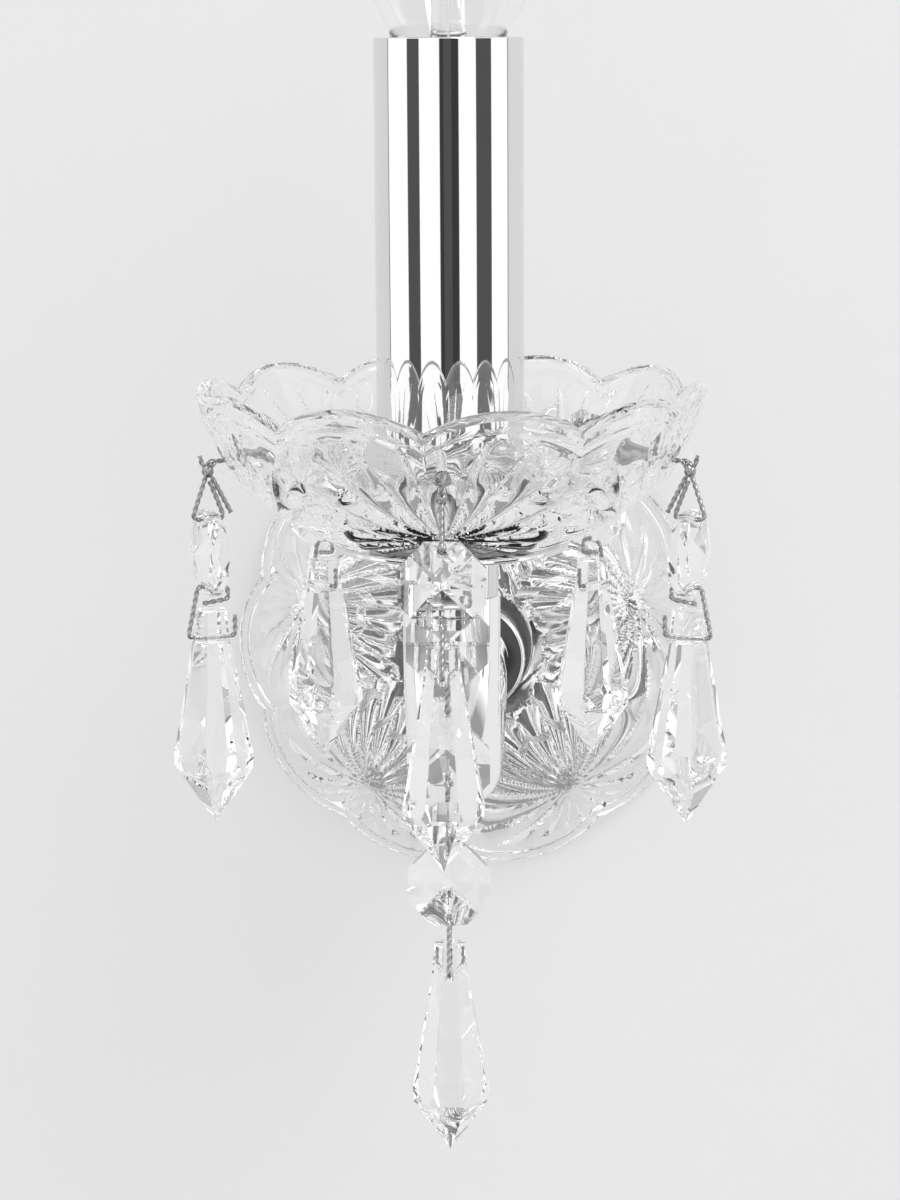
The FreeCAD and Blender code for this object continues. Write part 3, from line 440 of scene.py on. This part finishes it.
def fan_relief(azimuth, way, radius, rim_way, sizes):
    """Height of the pressed pattern on a bowl's outside, at an azimuth and a way up its wall.

    Leaves stand all round a focus in the middle of each sector. A point's place in its fan is its
    distance from the focus and its angle from straight up. A leaf runs out to the first of three
    lines: the band under the rim, the line halfway to the next fan, and the foot. Across it the height
    is a parabola, nought at both edges. Along it the height grows with the leaf's width, sinks
    towards the far end in leaves that point up, and ends in a quarter round. A fine bell-shaped
    groove lies along each edge. Under the rim one fine ridge follows the scallops. The whole pattern
    is sunk by a part of its height, so that it stands round the plain wall's surface.

    Its sizes: focus and focus_r, the focus's way up the wall and its radius; spread, how the halfway
    line leans; top and bottom, how far leaves reach up and down; full_width, where a leaf reaches its
    full height; leaf_height; flatten, the share of height lost at the far end; sunk.
    """
    sector = TAU / FANS
    turn = (azimuth + sector / 2) % sector - sector / 2
    across, up = turn * radius, way - sizes["focus"]
    distance, angle = np.hypot(across, up) + 1e-9, np.arctan2(across, up)
    pitch = TAU / LEAVES
    middle = (np.floor(angle / pitch) + 0.5) * pitch
    share = (angle - middle) / (pitch / 2)
    rising, sideways = np.cos(middle), np.abs(np.sin(middle))
    least, far_from, far_over, tip_bow, tip_length = 0.05, 0.35, 0.45, 0.05, 0.2
    leaning = sideways - sizes["spread"] * sector / 2 * rising
    side = sector / 2 * sizes["focus_r"] / np.maximum(leaning, least)
    end = np.minimum(sizes["top"] / np.maximum(rising, least), side)
    end = np.minimum(end, sizes["bottom"] / np.maximum(-rising, least))
    left = np.clip((1 - distance / end - tip_bow * share**2) / tip_length, 0, 1)
    tip = np.sqrt(1 - (1 - left) ** 2)
    grow = np.clip(pitch * distance / sizes["full_width"], 0, 1)
    far = np.clip((distance / end - far_from) / far_over, 0, 1)
    flatten = 1 - sizes["flatten"] * far**2 * (3 - 2 * far) * np.clip(1.5 * rising, 0, 1)
    leaf = sizes["leaf_height"] * (1 - share**2) * grow * tip * flatten
    edge = (1 - np.abs(share)) * pitch / 2 * distance
    groove = GROOVE_DEPTH * np.exp(-((edge / GROOVE_WIDTH) ** 2)) * tip * grow
    ridge = RIDGE_HEIGHT * np.exp(-(((rim_way - way - RIDGE_DOWN) / RIDGE_WIDTH) ** 2))
    fade = 4 * MM
    sunk = sizes["sunk"] * np.clip((rim_way - way) / fade, 0, 1) * np.clip(way / fade, 0, 1)
    return leaf - groove + ridge - sunk


def pressed_bowl(name, sizes, segments, rows):
    """Bowl with a scalloped rim, on a flat foot at height 0, its wall an arc inside and out.

    The outside is pushed out by the leaves, the top of the wall follows the scallops, and the rim is
    a half round between the two walls. Rings run up the outside, over the rim and down the inside.
    Near the rim the wall leans inwards at the notches, growing with the square of the way there.

    Its sizes: radius and height over all; foot, the foot's radius; wall and floor, their thickness;
    bulge, how far the wall bows out; cusp, the notches' depth; dent, how far a notch leans in;
    rim_turn and fan_turn, where the first scallop and fan stand; and those of the relief. Of rows,
    the first run up the outside, the next over the rim and the last down the inside.
    """
    R, H, foot, wall, floor, bulge, cusp, scallops = (sizes[k] for k in (
        "radius", "height", "foot", "wall", "floor", "bulge", "cusp", "scallops"))
    fine, lean_from, hole, bevel = 2000, 0.55, TUBE_HOLE, 0.3 * MM
    index = np.arange(fine)
    outer = arc_points((foot, 0), (R, H), bulge, fine)
    inner = arc_points((foot - wall / 2, floor), (R - wall, H), bulge, fine)
    way = np.concatenate([[0], np.cumsum(np.linalg.norm(np.diff(outer, axis=0), axis=1))])
    azimuth = np.arange(segments) / segments * TAU
    half = math.pi / scallops
    within = (azimuth - sizes["rim_turn"] + half) % (2 * half) - half
    chord = R * math.sin(half)
    lobe = (chord**2 + cusp**2) / (2 * cusp)
    drop = lobe - np.sqrt(lobe**2 - (R * np.sin(within)) ** 2)
    notch = drop / cusp
    rim_z = H - wall / 2 - drop

    end = np.interp(rim_z, outer[:, 1], index)
    at = np.linspace(0, 1, rows[0])[:, None] * end
    r, z, s = (np.interp(at, index, line) for line in (outer[:, 0], outer[:, 1], way))
    nearest = np.clip(at.astype(int), 0, fine - 1)
    slope_r, slope_z = np.gradient(outer[:, 0])[nearest], np.gradient(outer[:, 1])[nearest]
    size = np.hypot(slope_r, slope_z)
    h = fan_relief(azimuth - sizes["fan_turn"], s, r, np.interp(end, index, way), sizes)
    near = np.clip((s / way[-1] - lean_from) / (1 - lean_from), 0, 1)
    dent = sizes["dent"] * notch * near**2
    outside = np.stack([r + h * slope_z / size - dent, z - h * slope_r / size], -1)

    end = np.interp(rim_z, inner[:, 1], index)
    t = np.linspace(1, 0, rows[2])[:, None]
    near = np.clip((t - lean_from) / (1 - lean_from), 0, 1)
    dent = sizes["dent"] * notch * near**2
    inside = np.stack([np.interp(t * end, index, inner[:, 0]) - dent,
                       np.interp(t * end, index, inner[:, 1])], -1)

    centre = (outside[-1] + inside[0]) / 2
    arm = outside[-1] - centre
    up = np.stack([-arm[:, 1], arm[:, 0]], -1)
    t = np.linspace(0, math.pi, rows[1] + 2)[1:-1, None, None]
    rim = centre + np.cos(t) * arm + np.sin(t) * up

    base = np.array([(0.5 * (foot + hole), floor), (hole + bevel, floor), (hole, floor - bevel),
                     (hole, bevel), (hole + bevel, 0), (0.5 * (foot + hole), 0)])
    base = np.broadcast_to(base[:, None], (len(base), segments, 2))
    profile = np.concatenate([outside, rim, inside, base])
    x, y = profile[..., 0] * np.cos(azimuth), profile[..., 0] * np.sin(azimuth)
    points = np.stack([x, y, profile[..., 1]], -1)
    return mesh_object(name, points, grid_faces(len(profile), segments, True, True)[:, ::-1], 22)


def drip_bowl():
    """Pressed bowl on the lamp's axis, with the five holes that the hooks turn in."""
    base = low("drip_bowl")[2]
    sizes = {
        "radius": 44.9 * MM, "height": high("drip_bowl")[2] - base, "foot": 20.8 * MM, "wall": 2.9 * MM,
        "floor": 4.5 * MM, "bulge": 5.3 * MM, "cusp": 4.0 * MM, "scallops": 10,
        "rim_turn": math.radians(-94 + 18), "fan_turn": math.radians(-90), "focus": 9.0 * MM,
        "focus_r": 29 * MM, "spread": 0.6, "top": 24 * MM, "bottom": 8.2 * MM, "full_width": 4.5 * MM,
        "leaf_height": 1.25 * MM, "flatten": 0.75, "sunk": 0.3 * MM, "dent": 0.8 * MM,
    }
    bowl = pressed_bowl("drip_bowl_glass", sizes, 900, (82, 6, 12))
    moved(bowl, UPRIGHT, LAMP + [0, 0, base])
    hole_r, reach, inwards, over = 1.5 * MM, 7 * MM, 3.5 * MM, 1.04 * MM
    pins = [pivot_of(f"{name}_hook_swing") for name in PENDANTS]
    return bore(bowl, [(pin - axis * inwards + [0, 0, over], axis, hole_r, reach) for pin, axis in pins])


def wall_dish():
    """Pressed dish with its foot towards the room and its mouth on the wall."""
    face, depth = -high("wall_dish")[1], -low("wall_dish")[1]
    sizes = {
        "radius": (high("wall_dish") - low("wall_dish"))[0] / 2, "height": depth - face, "foot": 14 * MM,
        "wall": 3.0 * MM, "floor": 6.0 * MM, "bulge": 6.5 * MM, "cusp": 3.4 * MM, "scallops": 10,
        "rim_turn": math.radians(90 + 18), "fan_turn": math.radians(90),
        "focus": 24.0 * MM, "focus_r": 35.5 * MM, "spread": 0.85, "top": 13.5 * MM, "bottom": 22 * MM,
        "full_width": 5 * MM, "leaf_height": 1.2 * MM, "flatten": 0.4, "sunk": 0.45 * MM, "dent": 0.8 * MM,
    }
    dish = pressed_bowl("wall_dish_glass", sizes, 840, (90, 6, 12))
    turned = np.array([[-1, 0, 0], [0, 0, 1], [0, 1, 0]])  # foot towards the room, fans kept upright
    return moved(dish, turned, np.array([0, -depth, 0]))


dress(drip_bowl(), "drip_bowl")
dress(wall_dish(), "wall_dish")


# ---- swept pieces --------------------------------------------------------------------------------
def smooth_route(corners, bends, step):
    """Points along straight runs joined by arcs of the given radii, at about an even step."""
    corners = [np.array(c, float) for c in corners]
    points, at = [], corners[0]
    for before, corner, after, bend in zip(corners, corners[1:], corners[2:], bends):
        back = (before - corner) / np.linalg.norm(before - corner)
        on = (after - corner) / np.linalg.norm(after - corner)
        half = math.acos(np.clip(back @ on, -1, 1)) / 2
        start = corner + back * bend / math.tan(half)
        inward = (back + on) / np.linalg.norm(back + on)
        centre = corner + inward * bend / math.sin(half)
        side = (start - centre) / bend
        ahead = -back
        turned = math.pi - 2 * half
        sweep = np.linspace(0, turned, max(4, int(bend * turned / step)))[:, None]
        points += straight(at, start, step)
        points += list(centre + bend * (np.cos(sweep) * side + np.sin(sweep) * ahead))
        at = points.pop()
    return np.array(points + straight(at, corners[-1], step) + [corners[-1]])


def straight(a, b, step):
    """Points from a up to but without b, at about an even step."""
    length = np.linalg.norm(b - a)
    count = max(1, int(round(length / step)))
    return [a + (b - a) * k / count for k in range(count)] if length > 1e-9 else []


def frames_along(points, across):
    """Side and normal at each point of a path that lies in one plane: across, and across turned."""
    tangent = np.gradient(points, axis=0)
    tangent /= np.linalg.norm(tangent, axis=1)[:, None]
    side = np.broadcast_to(np.array(across, float), points.shape)
    return side, np.cross(tangent, side)


def swept_tube(name, points, across, outline, twist=0.0, hollow=None, sharp=60):
    """Bar along a path: outline(angle) is its radius round the section, turned by twist per metre.

    A point's place is the path's plus that radius times cosine and sine of its angle, along the
    path's side and normal. With hollow, a second wall of that radius runs back inside and the ends
    are closed between them.
    """
    side, normal = frames_along(points, across)
    way = np.concatenate([[0], np.cumsum(np.linalg.norm(np.diff(points, axis=0), axis=1))])
    count = 64 if hollow else 20
    angle = np.arange(count) / count * TAU
    radius = outline(angle)
    turn = angle[None, :] + twist * way[:, None]
    ring = np.cos(turn)[..., None] * side[:, None] + np.sin(turn)[..., None] * normal[:, None]
    shell = points[:, None] + radius[None, :, None] * ring
    if hollow:
        inner = points[::-1, None] + hollow * ring[::-1]
        shell = np.concatenate([shell, inner])
        return mesh_object(name, shell, grid_faces(len(shell), count, True, True), sharp)
    faces = grid_faces(len(points), count, False, True).tolist()
    first = len(points) * count
    ends = np.array([points[0], points[-1]])
    faces += [[first, (k + 1) % count, k] for k in range(count)]
    last = first - count
    faces += [[first + 1, last + k, last + (k + 1) % count] for k in range(count)]
    return mesh_object(name, np.concatenate([shell.reshape(-1, 3), ends]), faces, sharp)


def twisted(angle):
    """Section of the crystals' wire: two lobes, so that a twist along it reads as beading."""
    waist = 0.34
    return WIRE_R * (1 - waist * (1 - np.cos(2 * angle)) / 2)


def joined(name, pieces):
    """One object from several meshes, their points and faces put one after the other."""
    points, faces, start = [], [], 0
    for piece in pieces:
        mesh = piece.data
        co = np.empty(len(mesh.vertices) * 3)
        corners, totals = np.empty(len(mesh.loops), int), np.empty(len(mesh.polygons), int)
        mesh.vertices.foreach_get("co", co)
        mesh.loops.foreach_get("vertex_index", corners)
        mesh.polygons.foreach_get("loop_total", totals)
        points.append(co.reshape(-1, 3))
        faces += np.split(corners + start, np.cumsum(totals)[:-1])
        start += len(mesh.vertices)
        bpy.data.meshes.remove(mesh)
    return mesh_object(name, np.concatenate(points), faces, 60)


def wire(name, origin, out, points):
    """Twisted wire through points (outwards, up) from an origin, in millimetres, its bends rounded."""
    bend, step, lay = 0.75 * MM, 0.16 * MM, 2.6 * MM
    corners = [np.array(origin, float) + (out * r + np.array([0, 0, 1.0]) * z) * MM for r, z in points]
    path = smooth_route(corners, [bend] * (len(corners) - 2), step)
    return swept_tube(name, path, np.cross(out, (0, 0, 1.0)), twisted, twist=TAU / lay)


def ball(name, centre, radius, squash=1.0, ribs=0.0):
    """Small ball: the radius is the same all over but for slanting waves of height ribs."""
    rows, columns, pole = 24, 32, 0.001
    polar = np.linspace(pole, math.pi - pole, rows)[:, None]
    turn = (np.arange(columns) / columns * TAU)[None, :]
    r = radius * (1 + ribs * np.cos(4 * turn + 3 * polar))
    unit = np.stack([np.sin(polar) * np.cos(turn), np.sin(polar) * np.sin(turn),
                     squash * np.cos(polar) * np.ones_like(turn)], -1)
    faces = grid_faces(rows, columns, False, True).tolist()
    faces += [list(range(columns))[::-1], list(range((rows - 1) * columns, rows * columns))]
    return mesh_object(name, np.array(centre) + r[..., None] * unit, faces, 60)


def fall(upper, lower):
    """Millimetres from one joint down to another."""
    return (joints[f"{upper}_swing"]["pos_m"][2] - joints[f"{lower}_swing"]["pos_m"][2]) / MM


def hook(name):
    """A pendant's wire hook: its head lies inside the bowl, its loop hangs from a knot outside.

    All its places are (outwards, up) from the joint in millimetres. The bar that the bead hangs on
    lies as far down as the bead's joint.
    """
    pivot, out = pivot_of(f"{name}_hook_swing")
    bar, head_in, knot_z = -fall(f"{name}_hook", f"{name}_octagon"), -9.4, -1.6
    loop = wire("loop", pivot, out, [(head_in, 0), (0, 0), (0, knot_z), (2.9, bar), (-2.8, bar),
                                     (-0.3, bar + 6.6)])
    leg = wire("leg", pivot, out, [(0, knot_z), (-1.2, -3.6), (-3.9, bar + 1.0)])
    tails = [wire("tail", pivot, out, [(0, knot_z), (0.9, -0.6), (1.3, 1.0)]),
             wire("tail", pivot, out, [(0, knot_z), (-0.8, -0.9), (-1.3, -0.2)])]
    head = ball("head", pivot + out * head_in * MM, 1.75 * MM)
    knot = ball("knot", pivot + np.array([0, 0, knot_z * MM]), 0.95 * MM, 1.15, 0.12)
    dress(joined(f"{name}_hook_wire", [loop, leg, head, knot] + tails), f"{name}_hook")


def link(node, out, halves, length, place):
    """Bent wire between two crystals: a bar above, a wider bar below, its ends turned in.

    The halves are how far the lower bar reaches outwards and inwards; length is from bar to bar.
    """
    outer, inner = halves
    origin = [place[0], place[1], high(node)[2] - WIRE_TOP]
    points = [(1.4, -2.95), (-3.2, -2.3), (-2.9, 0), (2.2, 0), (outer, -length), (-inner, -length),
              (-inner, 3.6 - length)]
    dress(wire(f"{node}_wire", origin, out, points), node)


def centre_hook(place):
    """Hook of the centre chain: up through the pan, over, and down to the bar of the first bead."""
    bar = -fall("centre_hook", "centre_octagon_1")
    points = [(-1.9, -4), (-1.9, 0), (2.6, 0), (2.6, bar), (-2.8, bar), (-1.2, bar + 4.5)]
    dress(wire("centre_hook_wire", place, FRONT, points), "centre_hook")


FRONT = np.array([0, -1.0, 0])
ABOVE_BEAD, ABOVE_DROP = (2.9, 2.8), (4.1, 4.2)  # a drop's top is thicker than a bead
for name in PENDANTS:
    hook(name)
    pin, outwards = pivot_of(f"{name}_hook_swing")
    link(f"{name}_link", outwards, ABOVE_DROP, fall(f"{name}_link", f"{name}_drop"), pin)

chain_top = [0, LAMP[1] - 19.5 * MM, high("centre_hook")[2] - WIRE_TOP]
centre_hook(chain_top)
for number, below in ((1, "octagon_2"), (2, "octagon_3"), (3, "drop")):
    node, halves = f"centre_link_{number}", ABOVE_DROP if below == "drop" else ABOVE_BEAD
    link(node, FRONT, halves, fall(node, f"centre_{below}"), chain_top)


def glass_arm():
    """Drawn glass tube: level from the wall, a shallow dip, then one bend up to the lamp.

    The dip is two equal arcs, one turned down and one turned back, whose drop gives their angle.
    """
    start, end = -high("glass_arm")[1], high("glass_arm")[2]
    dip, dip_bend, bend, level, outside, inside = (x * MM for x in (3.5, 60, 31, 16, 8.65, 6.05))
    turn = 2 * math.asin(math.sqrt(dip / (4 * dip_bend)))
    run = 2 * dip_bend * math.tan(turn / 2)
    reach = -LAMP[1]
    corners = [(0, -start, 0), (0, -start - level, 0), (0, -start - level - run * math.cos(turn), -dip),
               (0, -reach, -dip), (0, -reach, end)]
    path = smooth_route(corners, [dip_bend, dip_bend, bend], 0.8 * MM)
    return swept_tube("glass_arm_tube", path, (1, 0, 0), lambda a: np.full_like(a, outside), hollow=inside)


dress(glass_arm(), "glass_arm")


# ---- bulb ----------------------------------------------------------------------------------------
def spline(poles, count):
    """Points on the clamped cubic spline of the given poles, worked out for all places at once.

    Three times over, each of a place's four poles is blended with the one before it, by how far the
    place lies between two knots.
    """
    poles = np.array(poles, float)
    spans = len(poles) - 3
    knots = np.concatenate([[0] * 3, np.arange(spans + 1), [spans] * 3]).astype(float)
    place = np.linspace(0, spans, count)
    span = np.minimum(place.astype(int), spans - 1) + 3
    work = poles[span - 3 + np.arange(4)[:, None]]
    for level in range(1, 4):
        k = np.arange(level, 4)[:, None]
        before, after = knots[span - 3 + k], knots[span + 1 + k - level]
        share = ((place - before) / (after - before))[..., None]
        work[level:] = (1 - share) * work[level - 1:3] + share * work[level:]
    return work[3]


def bulb_outline(inset):
    """Candle shape from neck to tip, drawn in by inset for the inner wall."""
    base, tip, neck, wide = low("bulb_glass")[2] + 1.1 * MM, high("bulb_glass")[2], 8.5 * MM, 17.5 * MM
    rise = tip - base
    poles = [
        (neck, base - 1.1 * MM), (neck, base + 1.5 * MM), (neck + 3.2 * MM, base + 7 * MM),
        (wide + 0.6 * MM, base + 0.26 * rise), (wide + 0.9 * MM, base + 0.52 * rise),
        (0.72 * wide, base + 0.76 * rise), (0.42 * wide, tip - inset), (0, tip - inset),
    ]
    return spline([(max(r - inset, 0), z) for r, z in poles], 90)


def bulb_glass():
    """Blown envelope: the candle shape outside and, one wall further in, inside."""
    wall, pole = 0.7 * MM, 0.02 * MM
    outer, inner = bulb_outline(0), bulb_outline(wall)
    outer[-1, 0] = inner[-1, 0] = pole
    profile = np.concatenate([outer, inner[::-1]])
    return on_lamp(flipped(lathe("bulb_envelope", profile[::-1], 160, 60)))


def bulb_stem():
    """Glass foot that carries the filament: a flared skirt below and a solid rod above."""
    base, length = low("bulb_stem")[2], (high("bulb_stem") - low("bulb_stem"))[2] / MM
    places = [(7.7, 0), (3.2, 5), (2.9, 7.5), (2.9, length), (0.05, length), (0.05, 5), (1.6, 4.2),
              (6.9, 0)]
    section = np.array(places) * MM + [0, base]
    return on_lamp(flipped(lathe("bulb_press", rounded(section, 1.2 * MM)[::-1], 96, 50)))


dress(bulb_glass(), "bulb_glass")
dress(bulb_stem(), "bulb_stem")


# ---- room, light and camera ----------------------------------------------------------------------
def wall():
    """Painted wall: shows on its room side only, so that the fitting can be looked at from behind."""
    half, behind = 0.49, 0.4 * MM
    points = [(-half, behind, -half), (half, behind, -half), (half, behind, half), (-half, behind, half)]
    plane = mesh_object("wall", points, [(0, 1, 2, 3)])
    made, shader, coords, surface = material("painted_wall")
    shade = shader.noise(coords, 30.0, 4.0)
    shader.feed(surface.inputs["Base Color"], shader.mix(shade, grey(0.90), grey(0.93)))
    shader.feed(surface.inputs["Roughness"], shade * 0.1 + 0.8)
    bumped(shader, surface, shader.noise(coords, 900.0, 3.0), 0.05, 0.0002)
    back = shader.node("ShaderNodeNewGeometry").outputs["Backfacing"]
    path = shader.node("ShaderNodeLightPath")
    direct, mirrored, through = (Value(shader, path.outputs[f"Is {kind} Ray"])
                                 for kind in ("Camera", "Glossy", "Transmission"))
    paper = shader.node("ShaderNodeEmission", Color=grey(0.77), Strength=1.0)
    clear = shader.node("ShaderNodeBsdfTransparent")

    def blend(factor, a, b):
        mixed = shader.node("ShaderNodeMixShader")
        for socket, value in zip(mixed.inputs, (factor, a.outputs[0], b.outputs[0])):
            shader.feed(socket, value)
        return mixed

    seen = shader.math("MINIMUM", direct + mirrored + through, 1.0)
    lit = blend(seen * (0.6 + through * 0.15), surface, paper)
    output = next(n for n in made.node_tree.nodes if n.type == "OUTPUT_MATERIAL")
    shader.feed(output.inputs["Surface"], blend(back, lit, clear).outputs[0])
    plane.data.materials.append(made)


def studio():
    """White room that only metal and glass see, with dark upright strips as in the photo's sleeve.

    A strip runs between two azimuths in degrees from the front, positive to the right, and fades over
    its soft edges. Strips end a little above and below level. High up and low down the room is
    darker. All else is lit by an even grey, and the camera sees a plain one.
    """
    world = bpy.data.worlds.new("studio")
    bpy.context.scene.world = world
    world.use_nodes = True
    shader = Shader(world.node_tree)
    direction = shader.node("ShaderNodeTexCoord").outputs["Generated"]
    split = shader.node("ShaderNodeSeparateXYZ", Vector=direction)
    x, y, z = (Value(shader, split.outputs[k]) for k in range(3))
    azimuth = shader.math("ARCTAN2", x, y * -1.0) * (180 / math.pi)

    def ramp(value):
        return shader.math("MAXIMUM", shader.math("MINIMUM", value, 1.0), 0.0)

    def strip(start, end, soft=1.2):
        rise = shader.math("MULTIPLY_ADD", azimuth - start, 1 / soft, 0.5)
        ebb = shader.math("MULTIPLY_ADD", end - azimuth, 1 / soft, 0.5)
        return ramp(shader.math("MINIMUM", rise, ebb))

    strips = strip(-64.4, -43.8) + strip(-12.2, -6.0) * 1.04 + strip(-6.0, 6.0) + strip(6.0, 17.0) * 1.04
    strips = strips + strip(43.8, 70.0) + strip(102.8, 104.8) + strip(-104.8, -102.8)
    level = ramp((0.36 - shader.math("ABSOLUTE", z + 0.12)) * 12.0)
    below = ramp((z * -1.0 - 0.42) * 4.0)
    above = ramp((z - 0.5) * 4.0)
    path = shader.node("ShaderNodeLightPath")
    through = Value(shader, path.outputs["Is Transmission Ray"])
    mirrored = ramp(Value(shader, path.outputs["Is Glossy Ray"]) + through)
    plain = 0.8
    light = (1.3 - strips * level * (1.2 - through * 0.06)) * (1 - below * 0.75) * (1 - above * 0.6)
    light = light * mirrored + (1.0 - mirrored) * plain
    tone = shader.node("ShaderNodeCombineColor")
    for socket in tone.inputs[:3]:
        shader.feed(socket, light)
    colour = shader.mix(path.outputs["Is Camera Ray"], tone.outputs[0], grey(plain))
    background = shader.node("ShaderNodeBackground", Color=colour, Strength=1.0)
    output = shader.node("ShaderNodeOutputWorld")
    shader.feed(output.inputs["Surface"], background.outputs[0])


def key_light():
    """Soft box from above on the right."""
    lamp = bpy.data.lights.new("soft_box", "AREA")
    lamp.shape, lamp.size, lamp.size_y, lamp.energy = "RECTANGLE", 0.5, 0.5, 4.0
    obj = bpy.data.objects.new("soft_box", lamp)
    bpy.context.scene.collection.objects.link(obj)
    place, target = Vector((0.35, -0.75, 0.8)), Vector((0, -0.06, 0.05))
    obj.location = place
    obj.rotation_euler = (target - place).to_track_quat("-Z", "Y").to_euler()


def camera():
    """Camera from a fit of the photo's round edges: its place, and its axes from yaw, pitch and roll."""
    data = bpy.data.cameras.new("camera")
    data.lens, data.sensor_width, data.sensor_fit = 82.34, 36, "AUTO"
    data.clip_start = 0.01
    obj = bpy.data.objects.new("camera", data)
    bpy.context.scene.collection.objects.link(obj)
    yaw, pitch, roll = (math.radians(a) for a in (-2.045, 11.27, 0.34))
    c, s = math.cos(yaw), math.sin(yaw)
    right = Vector((c, -s, 0))
    forward = Vector((s * math.cos(pitch), c * math.cos(pitch), -math.sin(pitch)))
    up = Vector((s * math.sin(pitch), c * math.sin(pitch), math.cos(pitch)))
    x = math.cos(roll) * right - math.sin(roll) * up
    y = math.sin(roll) * right + math.cos(roll) * up
    place = Vector((16.73, -598.5, 128.3)) * MM
    obj.matrix_world = Matrix.Translation(place) @ Matrix((x, y, -forward)).transposed().to_4x4()
    bpy.context.scene.camera = obj


wall()
studio()
key_light()
camera()
scene = bpy.context.scene
scene.view_settings.view_transform = "Standard"
scene.cycles.max_bounces = 32
scene.cycles.transmission_bounces = 28
scene.cycles.glossy_bounces = 28
scene.cycles.transparent_max_bounces = 16
